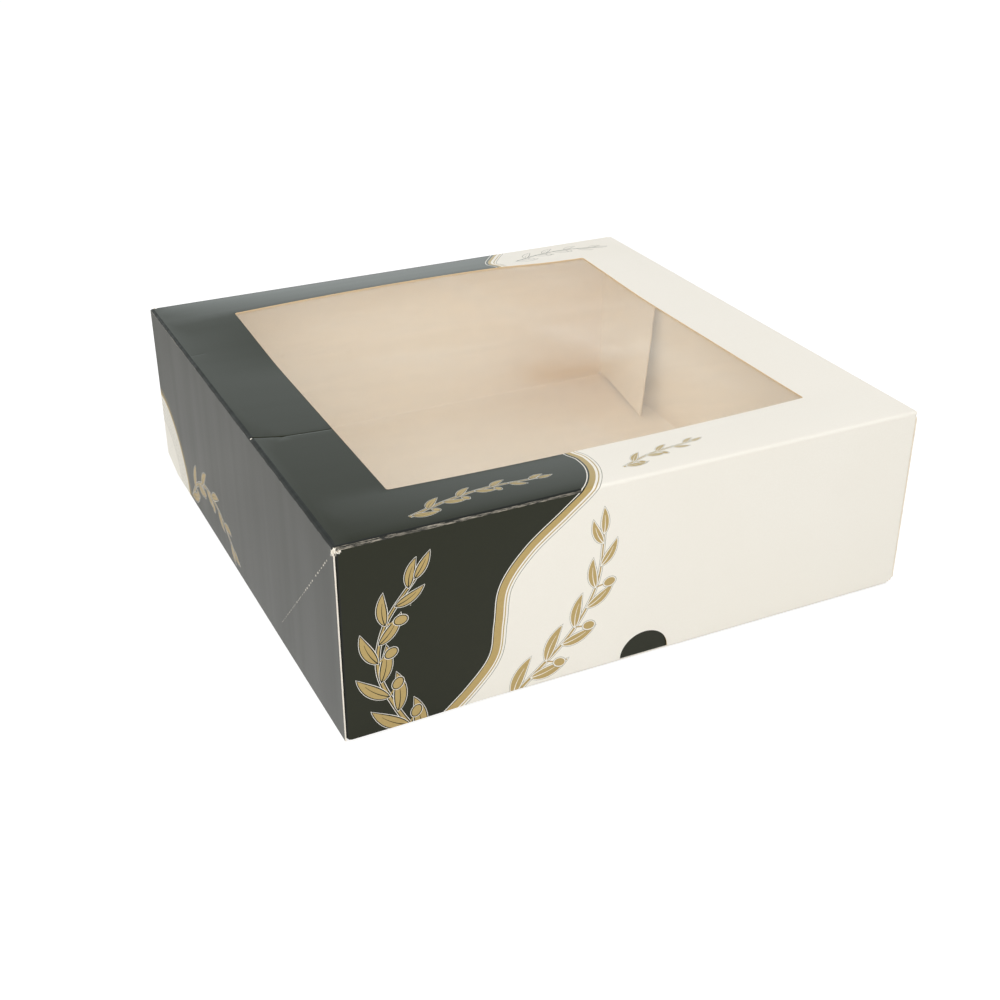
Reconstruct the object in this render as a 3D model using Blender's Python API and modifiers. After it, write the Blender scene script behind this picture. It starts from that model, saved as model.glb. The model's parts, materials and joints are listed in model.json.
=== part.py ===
# Windowed pastry box: a shallow carton of printed board, its corners glued, with a clear window under the lid.
# Units are metres and +Z is up. X runs along the front and Y towards the back.
# The origin lies under the middle of the closed box, on the surface it stands on.
# The carton is folded from one blank, and each panel between two creases is its own object.

import math

import bmesh
import bpy
from mathutils import Vector

# The closed box, measured over everything
box_width = 0.230
box_depth = 0.230
box_height = 0.075

# The board, and the gap left wherever two panels meet at a crease or lie on each other
board = 0.0005
gap = 0.0003

# The window in the lid, a little nearer the hinge than the front, and the film that laps under it all round
window_width = 0.170
window_front_margin = 0.030
window_back_margin = 0.027
window_radius = 0.001
film_lap = 0.010
film_thickness = 0.0001

# The hinge crease pushes the strip behind the window up, most in the middle of the window's back edge
lid_bow = 0.0035

# The lid's flaps end just above the table. The front one has a half-moon thumb notch,
# and each side one has its lower back corner cut off, so that it clears the base as the lid opens.
flap_lift = 0.0005
notch_radius = 0.010
corner_cut_length = 0.016
corner_cut_height = 0.004

# Glue tabs: how far they reach along the side walls, how much narrower they get at one end,
# and how short they stop of the panels above and below them
lid_tab_reach = 0.036
base_tab_reach = 0.056
tab_taper = 0.004
tab_relief = 0.001

# A base tab is glued above its 45 degree line only, and its loose lower corner springs off the wall
back_tab_flare = 0.010
front_tab_flare = 0.005
flare_power = 1.6

# Faces along each side of the lid's panel and of a flared tab, and around a full circle or a quarter of a corner
lid_cells = 20
tab_cells = 8
notch_sides = 64
corner_steps = 4

# How far a cutter runs past the board that it cuts
overrun = 0.002

# One layer of board with its gap. Layers are counted inwards from the outside of the box.
pitch = board + gap
half_width = box_width / 2
half_depth = box_depth / 2

# Along X the layers are: lid flap, lid tab, base side wall, base tab
flap_x = half_width
lid_tab_x = flap_x - pitch
wall_x = lid_tab_x - pitch
base_tab_x = wall_x - pitch

# Along Y, at the front, the layers are: lid flap, base front wall. At the back there is the back wall alone.
front_flap_y = -half_depth
front_wall_y = front_flap_y + pitch
back_wall_y = half_depth

# Heights
floor_top = board
wall_bottom = floor_top + gap
lid_under = box_height - board
wall_top = lid_under - gap

# The lid turns on the crease at the top of the back wall, in the middle of the board's thickness
hinge_y = half_depth - board / 2
hinge_z = box_height - board / 2
lid_back_y = hinge_y - board / 2 - gap
window_front_y = front_flap_y + window_front_margin
window_back_y = back_wall_y - window_back_margin
window_middle_y = (window_front_y + window_back_y) / 2
window_depth = window_back_y - window_front_y

# Half a gap, measured along the wall and not across a 45 degree crease
crease_half_gap = gap / math.sqrt(2)

# Linear colours: black and cream-white coated print, and the bare inside of the board
black_print = (0.035, 0.037, 0.026)
white_print = (0.86, 0.83, 0.76)
bare_board = (0.70, 0.60, 0.47)
clear_film = (0.95, 0.95, 0.94)


def clear_scene():
    for obj in list(bpy.data.objects):
        bpy.data.objects.remove(obj, do_unlink=True)


def new_collection(name):
    collection = bpy.data.collections.new(name)
    bpy.context.scene.collection.children.link(collection)
    return collection


def new_material(name, colour, roughness, alpha=1.0):
    material = bpy.data.materials.new(name)
    material.use_nodes = True
    shader = material.node_tree.nodes["Principled BSDF"]
    shader.inputs["Base Color"].default_value = (*colour, 1.0)
    shader.inputs["Roughness"].default_value = roughness
    shader.inputs["Metallic"].default_value = 0.0
    shader.inputs["Alpha"].default_value = alpha
    return material


def new_empty(name, place):
    empty = bpy.data.objects.new(name, None)
    empty.location = place
    carton.objects.link(empty)
    return empty


def add_object(name, data, parent, place, finish):
    """Put mesh or curve data into the carton as an object, at a place given in the box's own frame."""
    obj = bpy.data.objects.new(name, data)
    obj.parent = parent
    obj.location = Vector(place) - parent.location
    data.materials.append(new_material(name + "_finish", *finish))
    carton.objects.link(obj)
    return obj


def block_mesh(name, size):
    shape = bmesh.new()
    bmesh.ops.create_cube(shape, size=1)
    bmesh.ops.scale(shape, vec=size, verts=shape.verts)
    mesh = bpy.data.meshes.new(name)
    shape.to_mesh(mesh)
    shape.free()
    return mesh


def add_slab(name, low, high, parent, finish):
    """A flat rectangular panel between two corners."""
    size = Vector(high) - Vector(low)
    middle = (Vector(high) + Vector(low)) / 2
    return add_object(name, block_mesh(name, size), parent, middle, finish)


def add_side_sheet(name, outline, outer_x, side, parent, finish):
    """A flat panel in a side wall. The outline is in Y and Z, and outer_x is its outer face's distance from the middle."""
    curve = bpy.data.curves.new(name, "CURVE")
    curve.dimensions = "2D"
    curve.fill_mode = "BOTH"
    curve.extrude = board / 2
    spline = curve.splines.new("POLY")
    spline.points.add(len(outline) - 1)
    spline.use_cyclic_u = True
    for point, (y, z) in zip(spline.points, outline):
        point.co = (y - parent.location.y, z - parent.location.z, 0, 1)
    place = (side * (outer_x - board / 2), parent.location.y, parent.location.z)
    obj = add_object(name, curve, parent, place, finish)
    # Local X runs along Y and local Y along Z
    obj.rotation_euler = (math.pi / 2, 0, math.pi / 2)
    return obj


def add_flared_tab(name, side, end, flare, parent, finish):
    """A glue tab of the base. Its upper triangle lies on the side wall and its lower free corner stands off it."""
    shape = bmesh.new()
    bmesh.ops.create_grid(shape, x_segments=tab_cells, y_segments=tab_cells, size=1 / 2)
    bottom = wall_bottom + tab_relief
    height = wall_top - tab_relief - bottom
    root_y = back_wall_y - pitch if end > 0 else front_wall_y + pitch
    root_x = side * (base_tab_x - board / 2)
    for vertex in shape.verts:
        along = vertex.co.x + 1 / 2
        up = vertex.co.y + 1 / 2
        reach = along * (base_tab_reach - tab_taper * up)
        loose = max(0, reach - up * height) / base_tab_reach
        vertex.co = (-side * flare * loose**flare_power, -end * reach, bottom + up * height)
    mesh = bpy.data.meshes.new(name)
    shape.to_mesh(mesh)
    shape.free()
    obj = add_object(name, mesh, parent, (root_x, root_y, 0), finish)
    thicken = obj.modifiers.new("board", "SOLIDIFY")
    thicken.thickness = board
    thicken.offset = 0
    mesh.shade_smooth()
    mesh.set_sharp_from_angle(angle=math.radians(30))
    return obj


def lid_rise(x, y):
    """How far the lid bows up at a place. Nothing at its side and hinge edges, and nothing in front of the window."""
    across = math.cos(math.pi * x / box_width)
    if y > window_back_y:
        along = math.sin(math.pi / 2 * (lid_back_y - y) / (lid_back_y - window_back_y))
    elif y > window_front_y:
        along = math.cos(math.pi / 2 * (window_back_y - y) / window_depth) ** 2
    else:
        along = 0
    return lid_bow * across * along


def add_bowed_sheet(name, low, high, top, thickness, parent, finish):
    """A sheet between two corners in X and Y that follows the lid's bow. top is the height of its flat edges."""
    shape = bmesh.new()
    bmesh.ops.create_grid(shape, x_segments=lid_cells, y_segments=lid_cells, size=1 / 2)
    for vertex in shape.verts:
        x = low[0] + (high[0] - low[0]) * (vertex.co.x + 1 / 2)
        y = low[1] + (high[1] - low[1]) * (vertex.co.y + 1 / 2)
        vertex.co = (x, y - parent.location.y, lid_rise(x, y))
    mesh = bpy.data.meshes.new(name)
    shape.to_mesh(mesh)
    shape.free()
    obj = add_object(name, mesh, parent, (0, parent.location.y, top), finish)
    thicken = obj.modifiers.new("thickness", "SOLIDIFY")
    thicken.thickness = thickness
    thicken.offset = -1
    mesh.shade_smooth()
    mesh.set_sharp_from_angle(angle=math.radians(30))
    return obj


def cut(obj, cutter_mesh, place):
    """Cut a shape out of a panel. The cutter stays in its own collection, hidden from renders."""
    cutter = bpy.data.objects.new(cutter_mesh.name, cutter_mesh)
    cutter.location = place
    cutter.hide_render = True
    cutter.display_type = "WIRE"
    cutters.objects.link(cutter)
    boolean = obj.modifiers.new(cutter_mesh.name, "BOOLEAN")
    boolean.operation = "DIFFERENCE"
    boolean.solver = "EXACT"
    boolean.object = cutter


def window_mesh():
    """A block the size of the window, with its four upright edges rounded."""
    shape = bmesh.new()
    bmesh.ops.create_cube(shape, size=1)
    height = board + 2 * (lid_bow + overrun)
    bmesh.ops.scale(shape, vec=(window_width, window_depth, height), verts=shape.verts)
    upright = [e for e in shape.edges if e.verts[0].co.xy == e.verts[1].co.xy]
    bmesh.ops.bevel(
        shape, geom=upright, offset=window_radius, segments=corner_steps, profile=1 / 2, affect="EDGES"
    )
    mesh = bpy.data.meshes.new("window_cutter")
    shape.to_mesh(mesh)
    shape.free()
    return mesh


def notch_mesh():
    """A round bar along Y. Its upper half cuts the half-moon out of the flap's lower edge."""
    shape = bmesh.new()
    bmesh.ops.create_cone(
        shape,
        cap_ends=True,
        segments=notch_sides,
        radius1=notch_radius,
        radius2=notch_radius,
        depth=board + 2 * overrun,
    )
    mesh = bpy.data.meshes.new("notch_cutter")
    shape.to_mesh(mesh)
    shape.free()
    for vertex in mesh.vertices:
        vertex.co = (vertex.co.x, vertex.co.z, vertex.co.y)
    mesh.flip_normals()
    return mesh


def build_base(base):
    """Floor, four walls, the gussets that let the side walls fold, and the tabs that hold the corners."""
    inside = (bare_board, 0.8)
    outside_black = (black_print, 0.35)
    outside_white = (white_print, 0.4)

    add_slab(
        "floor_panel",
        (-wall_x, front_wall_y, 0),
        (wall_x, back_wall_y, floor_top),
        base,
        inside,
    )
    add_slab(
        "front_wall",
        (-base_tab_x, front_wall_y, wall_bottom),
        (base_tab_x, front_wall_y + board, wall_top),
        base,
        outside_black,
    )
    add_slab(
        "back_wall",
        (-base_tab_x, back_wall_y - board, wall_bottom),
        (base_tab_x, back_wall_y, wall_top),
        base,
        inside,
    )

    # Each side wall's creases start in its bottom corners and climb at 45 degrees
    rise = wall_top - wall_bottom
    front = front_wall_y
    back = back_wall_y
    shift = crease_half_gap
    middle = [
        (front + shift, wall_bottom),
        (back - shift, wall_bottom),
        (back - rise - shift, wall_top),
        (front + rise + shift, wall_top),
    ]
    for side, hand, print_finish in ((-1, "left", outside_black), (1, "right", outside_white)):
        add_side_sheet(hand + "_wall", middle, wall_x, side, base, print_finish)
        for end, edge, place in ((-1, "front", front), (1, "back", back)):
            gusset = [
                (place, wall_bottom + shift),
                (place - end * (rise - shift), wall_top),
                (place, wall_top),
            ]
            add_side_sheet(f"{hand}_{edge}_gusset", gusset, wall_x, side, base, print_finish)
            flare = back_tab_flare if end > 0 else front_tab_flare
            add_flared_tab(f"{edge}_{hand}_tab", side, end, flare, base, inside)


def build_lid(hinge):
    """Top panel with its window and film, three flaps, and the tabs glued behind the side flaps' gussets."""
    outside_black = (black_print, 0.35)
    outside_white = (white_print, 0.4)

    lid = add_bowed_sheet(
        "lid_panel",
        (-half_width, front_flap_y),
        (half_width, lid_back_y),
        box_height,
        board,
        hinge,
        outside_black,
    )
    cut(lid, window_mesh(), (0, window_middle_y, box_height))

    add_bowed_sheet(
        "window_film",
        (-window_width / 2 - film_lap, window_front_y - film_lap),
        (window_width / 2 + film_lap, window_back_y + film_lap),
        wall_top,
        film_thickness,
        hinge,
        (clear_film, 0.08, 0.2),
    )

    front_flap = add_slab(
        "lid_front_flap",
        (-lid_tab_x, front_flap_y, flap_lift),
        (lid_tab_x, front_flap_y + board, wall_top),
        hinge,
        outside_white,
    )
    cut(front_flap, notch_mesh(), (0, front_flap_y + board / 2, flap_lift))

    # A side flap's crease starts in its top front corner and drops at 45 degrees
    drop = wall_top - flap_lift
    front = front_flap_y
    shift = crease_half_gap
    flap = [
        (front + drop + shift, flap_lift),
        (lid_back_y - corner_cut_length, flap_lift),
        (lid_back_y, flap_lift + corner_cut_height),
        (lid_back_y, wall_top),
        (front + shift, wall_top),
    ]
    gusset = [
        (front, flap_lift),
        (front + drop - shift, flap_lift),
        (front, wall_top - shift),
    ]
    tab = [
        (front + pitch, flap_lift + tab_relief),
        (front + pitch + lid_tab_reach, flap_lift + tab_relief),
        (front + pitch + lid_tab_reach - tab_taper, wall_top - tab_relief),
        (front + pitch, wall_top - tab_relief),
    ]
    for side, hand, print_finish in ((-1, "left", outside_black), (1, "right", outside_white)):
        add_side_sheet(f"lid_{hand}_flap", flap, flap_x, side, hinge, print_finish)
        add_side_sheet(f"lid_{hand}_gusset", gusset, flap_x, side, hinge, print_finish)
        add_side_sheet(f"lid_{hand}_tab", tab, lid_tab_x, side, hinge, print_finish)


clear_scene()
carton = new_collection("windowed_pastry_box")
cutters = new_collection("cutters")
build_base(new_empty("base_frame", (0, 0, 0)))
build_lid(new_empty("lid_hinge", (0, hinge_y, hinge_z)))
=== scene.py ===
import json
import math
import random
from functools import partial

import bpy
from mathutils import Matrix, Vector
from mathutils.geometry import delaunay_2d_cdt


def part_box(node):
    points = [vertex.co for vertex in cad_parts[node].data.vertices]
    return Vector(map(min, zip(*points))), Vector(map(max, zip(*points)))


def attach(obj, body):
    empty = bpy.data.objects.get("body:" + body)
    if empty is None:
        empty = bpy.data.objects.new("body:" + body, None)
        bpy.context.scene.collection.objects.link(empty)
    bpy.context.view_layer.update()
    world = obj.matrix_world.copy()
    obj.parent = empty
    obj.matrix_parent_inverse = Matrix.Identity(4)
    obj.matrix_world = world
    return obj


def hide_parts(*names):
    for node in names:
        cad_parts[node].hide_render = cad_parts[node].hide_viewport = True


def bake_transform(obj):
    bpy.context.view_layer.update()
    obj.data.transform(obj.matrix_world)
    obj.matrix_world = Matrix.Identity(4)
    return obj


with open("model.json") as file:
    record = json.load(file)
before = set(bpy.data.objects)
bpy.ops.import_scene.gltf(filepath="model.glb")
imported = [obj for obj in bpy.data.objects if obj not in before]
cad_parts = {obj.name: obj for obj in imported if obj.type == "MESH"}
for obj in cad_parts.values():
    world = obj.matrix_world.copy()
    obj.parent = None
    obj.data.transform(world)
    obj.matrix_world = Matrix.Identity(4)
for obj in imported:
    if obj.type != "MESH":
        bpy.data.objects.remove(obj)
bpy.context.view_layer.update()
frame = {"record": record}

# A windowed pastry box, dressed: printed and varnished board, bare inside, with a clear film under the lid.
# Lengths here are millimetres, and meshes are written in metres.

mm = 0.001
bodyOf = {node: body for body, nodes in frame["record"]["behaviour"]["bodies"].items() for node in nodes}


def boxOf(node):
    low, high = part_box(node)
    return low / mm, high / mm


# What the frame says about the carton
frontFlapLow, frontFlapHigh = boxOf("lid_front_flap")
frontWallLow, frontWallHigh = boxOf("front_wall")
lidLow, lidHigh = boxOf("lid_panel")
filmLow, filmHigh = boxOf("window_film")
floorHigh = boxOf("floor_panel")[1]
board = frontFlapHigh.y - frontFlapLow.y
gap = frontWallLow.y - frontFlapHigh.y
halfWidth = lidHigh.x
front = lidLow.y
back = floorHigh.y
wallFront = frontWallLow.y
wallTop = frontWallHigh.z
top = wallTop + gap + board
lidBow = lidHigh.z - top
wallX = floorHigh.x          # outer face of the base's side walls
print("frame loaded, board", round(board, 2), "mm")

# How the creases were pressed. A radius is that of the board's outer face.
crease = {
    "radius": 1.2,
    "backRadius": 2.8,      # the hinge crease stays rounder
    "endRadius": 0.9,       # where a flap turns into its glue tab
    "endCut": (0.6, 0.8),   # how much a base wall is cut away there, below and above
    "steps": 6,
    "lap": 10.0,            # film glued to the board round the window
    "windowRadius": 1.0,
}
radius = crease["radius"]
foldLength = radius * math.pi / 2
backLength = crease["backRadius"] * math.pi / 2
endLength = crease["endRadius"] * math.pi / 2
flatX = halfWidth - radius
flatFront = front + radius
flatBack = back - crease["backRadius"]
foldBottom = top - radius
floorX = wallX - radius
floorFront = wallFront + radius
floorBack = back - radius
lidTurnX = frontFlapHigh.x - crease["endRadius"]
baseTurnX = frontWallHigh.x - crease["endRadius"]
windowX = filmHigh.x - crease["lap"]
windowFront = filmLow.y + crease["lap"]
windowBack = filmHigh.y - crease["lap"]

# Small faults of the real board: soft waves in the flaps, and a lid bowed up at the hinge and sunk in front
wear = {
    "wave": 0.24,
    "waveLength": 47.0,
    "waveFade": 28.0,           # they die out this far below the fold
    "waveSway": (9, 31),        # their crests lean to and fro: by how much, and over what height
    "slowWave": (33, 2.7, 40),  # a longer one is under them: its start, its length in theirs, and its lean
    "frontWave": (0.5, 12),     # the front flap has this share of them, fading over that length at its ends
    "lidLines": [
        # pressed lines in the left margin: start, end, depth and half width
        ((-114.3, -29.2), (-104.0, -32.2), 0.16, 0.38),
        ((-104.0, -32.2), (-85.2, -32.9), 0.10, 0.36),
        ((-113.4, 53.5), (-108.5, 53.6), 0.025, 0.35),
    ],
    # the margins lift behind their folds: height and length, and how far past the window's edge they fall off
    "swell": (0.34, 3.2, 6, 24),
    "backSwell": (0.40, 6.0, 18, 24),
    "swellEnds": 7.0,
    "backBulge": 0.15,          # how far the back margin rounds as it falls to the hinge
    "bowShare": 0.4,            # share of the window's depth over which the bow falls away
    "rightFall": (0.24, 38.0, 30.0, 45.0),      # it falls sooner on the right: amount, start and two lengths
    "rightShift": (0.25, 60.0, 50.0),           # the front flap's right end presses out sideways
    "droop": 2.15,              # the board round the window sinks, most in the middle of its front edge
    "droopReach": 102.0,        # distance from a side fold over which it sinks
    "droopShare": 0.35,
    "filmDroop": (0.7, 50.0),   # the film follows it less: by how much, and how far in
}


def ease(t):
    t = min(max(t, 0.0), 1.0)
    return t * t * (3 - 2 * t)


def segmentDistance(p, a, b):
    ax, ay = b[0] - a[0], b[1] - a[1]
    t = ((p[0] - a[0]) * ax + (p[1] - a[1]) * ay) / (ax * ax + ay * ay)
    t = min(max(t, 0.0), 1.0)
    return math.hypot(p[0] - a[0] - t * ax, p[1] - a[1] - t * ay)


def softLines(p, lines):
    # what the soft lines add up to there, each with its start, end, amount and half width
    return sum(amount * math.exp(-((segmentDistance(p, start, end) / width) ** 2))
               for start, end, amount, width in lines)


def lidRise(x, y):
    fall, start, length, end = wear["rightFall"]
    across = math.cos(math.pi * x / 2 / halfWidth)
    across -= fall * ease((x - start) / length) * ease((flatX - x) / end)
    forward = (windowBack - y) / (windowBack - windowFront)
    if forward < 0:
        share = (flatBack - y) / (flatBack - windowBack)
        along = share + wear["backBulge"] * share * (1 - share)
    else:
        along = 1 - ease(forward / wear["bowShare"])
    droop = wear["droop"] * math.sin(math.pi / 2 * min((flatX - abs(x)) / wear["droopReach"], 1))
    droop *= ease(forward / wear["droopShare"]) * min(max((y - flatFront) / (windowFront - flatFront), 0), 1)
    less, inward = wear["filmDroop"]
    droop *= 1 - less * ease(min(windowX - abs(x), y - windowFront, windowBack - y) / inward)
    height, length, past, end = wear["swell"]
    swell = height * (1 - math.exp(-(y - flatFront) / length)) * ease((windowFront + past - y) / end)
    height, length, past, end = wear["backSwell"]
    swell += height * (1 - math.exp(-(flatBack - y) / length)) * ease((y - windowBack + past) / end)
    swell *= ease((flatX - abs(x)) / wear["swellEnds"])
    return swell + (lidBow - swell) * across * along - droop


def flapWave(along, z):
    sway, height = wear["waveSway"]
    start, longer, lean = wear["slowWave"]
    swell = math.cos(2 * math.pi * (along + sway * math.sin(z / height)) / wear["waveLength"])
    slow = math.cos(2 * math.pi * (along - start) / (wear["waveLength"] * longer) + z / lean)
    return wear["wave"] * ease((foldBottom - z) / wear["waveFade"]) * (2 - swell - slow) / 4


def overFold(x, y, u, v):
    # from the flat panel's edge at x, y round its fold to the blank's u, v: where that is, and how far down
    over = math.hypot(u - x, v - y)
    if over == 0:
        return x, y, 0.0
    turn = min(over / radius, math.pi / 2)
    reach = radius * math.sin(turn) / over
    drop = radius * (1 - math.cos(turn)) + max(over - foldLength, 0)
    return x + reach * (u - x), y + reach * (v - y), drop


# The lid and its flaps are one blank, drawn flat as seen from the printed side: u to the right, v back.
# Each place function folds a point of the blank to where it is on the closed box.
def lidTopPlace(u, v):
    x = min(max(u, -flatX), flatX)
    y = max(v, flatFront)
    z = top + lidRise(x, min(y, flatBack)) - softLines((u, v), wear["lidLines"])
    x, y, drop = overFold(x, y, u, v)
    return x, y, z - drop


def lidSidePlace(u, v):
    z = foldBottom - (abs(u) - flatX - foldLength)
    return math.copysign(halfWidth - flapWave(v, z), u), v, z


def turnEnd(u, flat, y, inward):
    # carries a point round the small fold at a flap's end and along its glue tab
    over = abs(u) - flat
    if over <= 0:
        return u, y
    turn = min(over / crease["endRadius"], math.pi / 2)
    x = math.copysign(flat + crease["endRadius"] * math.sin(turn), u)
    return x, y + inward * (crease["endRadius"] * (1 - math.cos(turn)) + max(over - endLength, 0))


def lidFrontPlace(u, v):
    z = foldBottom - (flatFront - foldLength - v)
    share, calm = wear["frontWave"]
    x, y = turnEnd(u, lidTurnX, front + ease((lidTurnX - abs(u)) / calm) * share * flapWave(u, z), 1)
    shift, start, length = wear["rightShift"]
    return x + shift * ease((u - start) / length), y, z


def hingePlace(u, v):
    turn = min(max(v - flatBack, 0) / crease["backRadius"], math.pi / 2)
    y = flatBack + crease["backRadius"] * math.sin(turn)
    z = top - crease["backRadius"] * (1 - math.cos(turn))
    return u, y + min(v - flatBack, 0), z - max(v - flatBack - backLength, 0)


# The base is a second blank, seen from its printed side, which is below, so u runs against X
def basePlace(u, v):
    x, y, z = overFold(min(max(u, -floorX), floorX), min(max(v, floorFront), floorBack), u, v)
    return -x, y, z


def wallHeight(over):
    return radius + over - foldLength


def baseSidePlace(u, v):
    return -math.copysign(wallX, u), v, wallHeight(abs(u) - floorX)


# Glue tabs. A base one is glued near its fold only: its free edge stands off the wall, most at the bottom.
tabs = {"reach": 56.0, "taper": 4.0, "relief": 1.0, "back": 9.6, "front": 5.0, "hold": 0.62, "curl": 1.15,
        "lidReach": 36.0}


def baseEndPlace(end):
    face, inward = (back, -1) if end == "back" else (wallFront, 1)

    def place(u, v):
        z = wallHeight(v - floorBack if end == "back" else floorFront - v)
        x, y = turnEnd(u, baseTurnX, face, inward)
        reach = abs(u) - baseTurnX - endLength
        if reach > 0:
            loose = max(0.0, reach - tabs["hold"] * (z - radius)) / tabs["reach"]
            x -= math.copysign(tabs[end] * loose ** tabs["curl"], x)
        return -x, y, z

    return place


# Where a spot of a panel lies on its blank
def onFront(x, z):
    return x, flatFront - foldLength - (foldBottom - z)


def onLeft(y, z):
    return -(flatX + foldLength + foldBottom - z), y


def onRight(y, z):
    return flatX + foldLength + foldBottom - z, y


def onBase(wall, along, z):
    over = z - radius + foldLength
    if wall in ("front", "back"):
        return -along, floorFront - over if wall == "front" else floorBack + over
    return (floorX + over) * (1 if wall == "left" else -1), along


# Materials. Colours are sRGB hex, turned to linear here.
def hexColour(text):
    parts = [int(text[i : i + 2], 16) / 255 for i in (1, 3, 5)]
    linear = [c / 12.92 if c <= 0.04045 else ((c + 0.055) / 1.055) ** 2.4 for c in parts]
    return (*linear, 1.0)


def addNode(tree, kind, values=None, links=None, **settings):
    # settings are the node's properties, values its sockets' numbers or hex colours, links what feeds them
    node = tree.nodes.new("ShaderNode" + kind)
    for key, value in settings.items():
        setattr(node, key, value)
    for key, value in (values or {}).items():
        node.inputs[key].default_value = hexColour(value) if isinstance(value, str) else value
    for key, source in (links or {}).items():
        if isinstance(source, bpy.types.Node):
            source = next(socket for socket in source.outputs if socket.enabled)
        tree.links.new(source, node.inputs[key])
    return node


def newMaterial(name):
    # the material, what adds its nodes, and the place on the object that patterns are laid out from
    material = bpy.data.materials.new(name)
    material.use_nodes = True
    material.node_tree.nodes.clear()
    add = partial(addNode, material.node_tree)
    return material, add, add("TexCoord").outputs["Object"]


def perMetre(size):
    # a pattern's scale for features of that size in millimetres
    return 1 / (size * mm)


def varnishedBoard(name, look):
    # Folding boxboard with a clay coat, printed by offset and varnished by roller. That gives a satin gloss
    # that rises at a glance, long faint streaks from the roller, a mottle from the coat and the fibres' peel.
    material, add, where = newMaterial(name)
    rolled = add("Mapping", {"Scale": (0.03, 1.0, 0.03)}, {"Vector": where})
    laid = add("Mapping", {"Scale": (0.35, 1.0, 0.35)}, {"Vector": where})
    mottle = add("TexNoise", {"Scale": perMetre(look["mottle"]), "Detail": 3.0}, {"Vector": where})
    cloud = add("TexNoise", {"Scale": perMetre(look["cloud"]), "Detail": 1.0}, {"Vector": where})
    streak = add("TexNoise", {"Scale": perMetre(look["streak"]), "Detail": 2.0}, {"Vector": rolled})
    pulp = {"Scale": perMetre(look["fibre"]), "Detail": 3.0, "Roughness": 0.6}
    fibres = add("TexNoise", pulp, {"Vector": laid})
    ink = add("Mix", {"A": look["deep"], "B": look["pale"]}, {"Factor": mottle}, data_type="RGBA")
    spread = {"From Min": 0.35, "From Max": 0.65, "To Max": look["cloudShare"]}
    share = add("MapRange", spread, {"Value": cloud})
    colour = add("Mix", {"B": look["cloudTint"]}, {"Factor": share, "A": ink}, data_type="RGBA")
    if "speck" in look:
        # dust and burst fibres, a pale point every few centimetres
        dots = add("TexVoronoi", {"Scale": perMetre(look["speckEvery"])}, {"Vector": where})
        size = {"From Min": 0.008, "From Max": 0.014, "To Min": 0.8, "To Max": 0.0}
        spot = add("MapRange", size, {"Value": dots})
        colour = add("Mix", {"B": look["speck"]}, {"Factor": spot, "A": colour}, data_type="RGBA")
    low, high = look["rough"]
    spread = {"From Min": 0.3, "From Max": 0.7, "To Min": low, "To Max": high}
    rough = add("MapRange", spread, {"Value": streak})
    waves = add("Bump", {"Strength": 1.0, "Distance": look["streakDepth"] * mm}, {"Height": streak})
    depth = {"Strength": 1.0, "Distance": look["peelDepth"] * mm}
    peel = add("Bump", depth, {"Height": fibres, "Normal": waves})
    shader = add("BsdfPrincipled", {"Metallic": look.get("metal", 0.0), "IOR": look["ior"]},
                 {"Base Color": colour, "Roughness": rough, "Normal": peel})
    add("OutputMaterial", links={"Surface": shader})
    return material


def bareBoard(name, look):
    # The uncoated back of the board, or its cut edge: unbleached pulp, formed on a wire and left matt. That
    # gives cloudy cream with darker fibres lying in it and no sheen.
    material, add, where = newMaterial(name)
    cloud = add("TexNoise", {"Scale": perMetre(look["cloud"]), "Detail": 3.0}, {"Vector": where})
    grain = {"Scale": perMetre(look["pulp"]), "Detail": 4.0, "Roughness": 0.65}
    pulp = add("TexNoise", grain, {"Vector": where})
    colour = add("Mix", {"A": look["deep"], "B": look["pale"]}, {"Factor": cloud}, data_type="RGBA")
    warm = add("MapRange", {"From Min": 0.35, "From Max": 0.65, "To Max": 0.35}, {"Value": pulp})
    colour = add("Mix", {"B": look["warm"]}, {"Factor": warm, "A": colour}, data_type="RGBA")
    for stretch in ((0.3, 1.0, 1.0), (1.0, 0.3, 1.0)):
        # fibres lie both ways
        lying = add("Mapping", {"Scale": stretch}, {"Vector": where})
        fleck = add("TexNoise", {"Scale": perMetre(look["fleck"]), "Detail": 1.0}, {"Vector": lying})
        share = add("MapRange", {"From Min": 0.70, "From Max": 0.78, "To Max": 0.5}, {"Value": fleck})
        colour = add("Mix", {"B": look["fleckTint"]}, {"Factor": share, "A": colour}, data_type="RGBA")
    if "stain" in look:
        # painted shade: darker and browner towards the corner where the back wall, the right wall and the
        # floor meet, by the piece's painted light amount
        paintedLightAmounts = add("Attribute", attribute_name="mark").outputs["Fac"]
        colour = add("Mix", {"B": look["stain"]}, {"Factor": paintedLightAmounts, "A": colour}, data_type="RGBA")
    bump = add("Bump", {"Strength": 0.2, "Distance": 0.04 * mm}, {"Height": pulp})
    shader = add("BsdfPrincipled", {"Roughness": look["rough"], "IOR": 1.45, "Specular IOR Level": 0.1},
                 {"Base Color": colour, "Normal": bump})
    add("OutputMaterial", links={"Surface": shader})
    return material


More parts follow.
